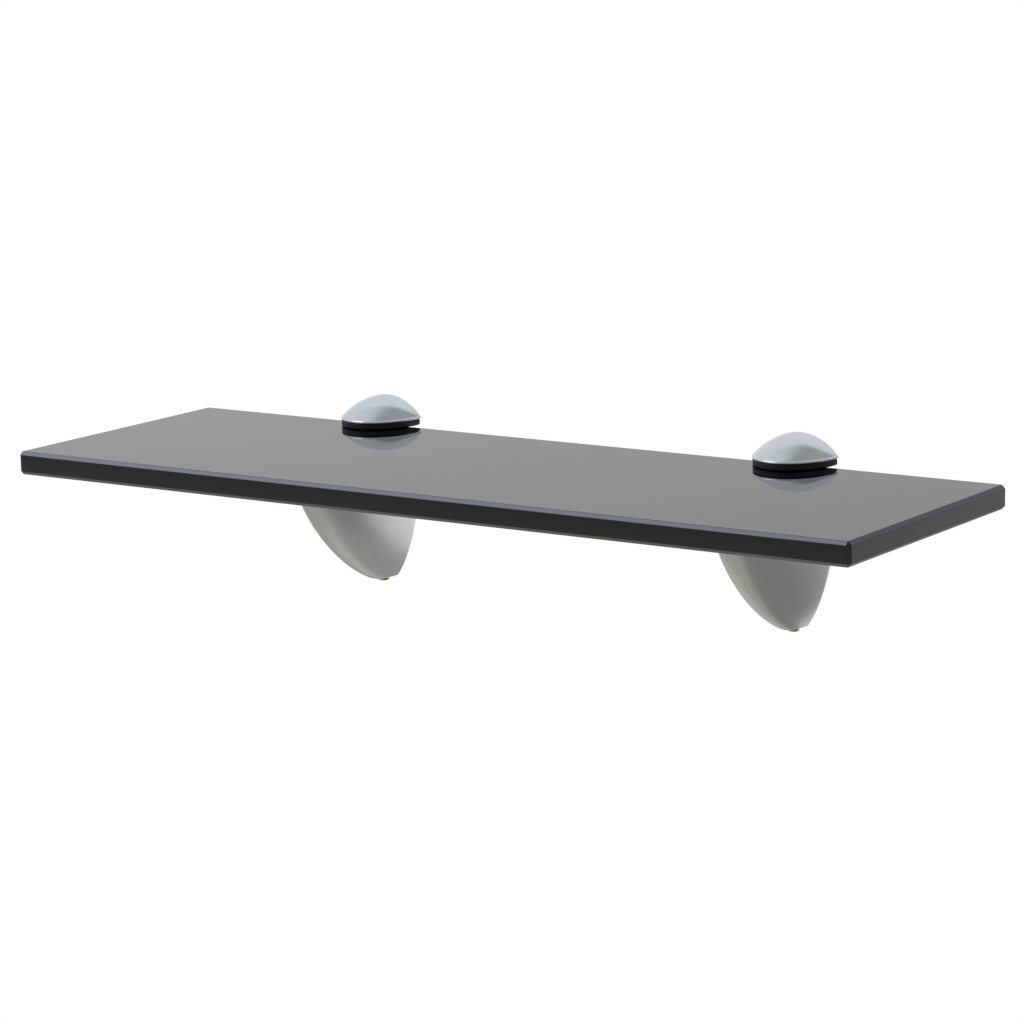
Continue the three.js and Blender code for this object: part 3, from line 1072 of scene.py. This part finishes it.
def studio_surroundings():
    """Lights the shelf from the sky, while the camera sees plain white."""
    world = bpy.data.worlds.new("studio")
    bpy.context.scene.world = world
    world.use_nodes = True
    tree = world.node_tree
    tree.nodes.clear()
    around = tree.nodes.new("ShaderNodeBackground")
    tree.links.new(sky_light(Sky(tree)), around.inputs["Color"])
    white = tree.nodes.new("ShaderNodeBackground")
    white.inputs["Color"].default_value = (1, 1, 1, 1)
    path = tree.nodes.new("ShaderNodeLightPath")
    mix = tree.nodes.new("ShaderNodeMixShader")
    share, first, second = mix.inputs
    tree.links.new(path.outputs["Is Camera Ray"], share)
    tree.links.new(around.outputs["Background"], first)
    tree.links.new(white.outputs["Background"], second)
    output = tree.nodes.new("ShaderNodeOutputWorld")
    tree.links.new(mix.outputs["Shader"], output.inputs["Surface"])


def soft_light(name, place, target, size, glow, colour=(1, 1, 1)):
    """A soft rectangular lamp that glows as brightly at any size, and that the camera can't see."""
    lamp = bpy.data.lights.new(name, "AREA")
    lamp.shape = "RECTANGLE"
    lamp.size, lamp.size_y = size
    lamp.energy = glow * math.pi * size[0] * size[1]
    lamp.color = colour
    made = bpy.data.objects.new(name, lamp)
    made.location = place
    made.rotation_euler = (Vector(target) - Vector(place)).to_track_quat("-Z", "Y").to_euler()
    made.visible_camera = False
    bpy.context.scene.collection.objects.link(made)


def studio_camera():
    """A long lens in front and to the right, a little above the glass."""
    ahead = Vector((-math.sin(CAMERA_YAW), math.cos(CAMERA_YAW), 0))
    forward = math.cos(CAMERA_PITCH) * ahead - math.sin(CAMERA_PITCH) * Vector((0, 0, 1))
    across = Vector((math.cos(CAMERA_YAW), math.sin(CAMERA_YAW), 0))
    upwards = across.cross(forward)
    right = math.cos(CAMERA_ROLL) * across + math.sin(CAMERA_ROLL) * upwards
    up = math.cos(CAMERA_ROLL) * upwards - math.sin(CAMERA_ROLL) * across
    lens = bpy.data.cameras.new("camera")
    lens.lens = CAMERA_LENS
    lens.sensor_width = CAMERA_SENSOR
    camera = bpy.data.objects.new("camera", lens)
    turn = Matrix((right, up, -forward)).transposed()
    camera.matrix_world = Matrix.Translation(CAMERA_PLACE) @ turn.to_4x4()
    bpy.context.scene.collection.objects.link(camera)
    bpy.context.scene.camera = camera


# ---------------------------------------------------------------- scene

place_glass()
bracket_pieces()
carry_over_plates()
studio_floor()
studio_surroundings()
soft_light(
    "softbox",
    place=(-0.85, -0.55, 1.2),
    target=(0, -0.05, 0),
    size=(0.8, 0.8),
    glow=3.1,
    colour=(0.84, 0.96, 1.1),
)
soft_light(
    "low_card", place=(-0.03, 0.1, -0.17), target=(-0.03, 0.1, 0), size=(0.18, 0.3), glow=0.13
)
soft_light(
    "rear_card", place=(0.03, 0.17, -0.1), target=(-0.08, -0.03, -0.03), size=(0.2, 0.12), glow=0.6
)
studio_camera()
bpy.context.scene.view_settings.view_transform = "Standard"
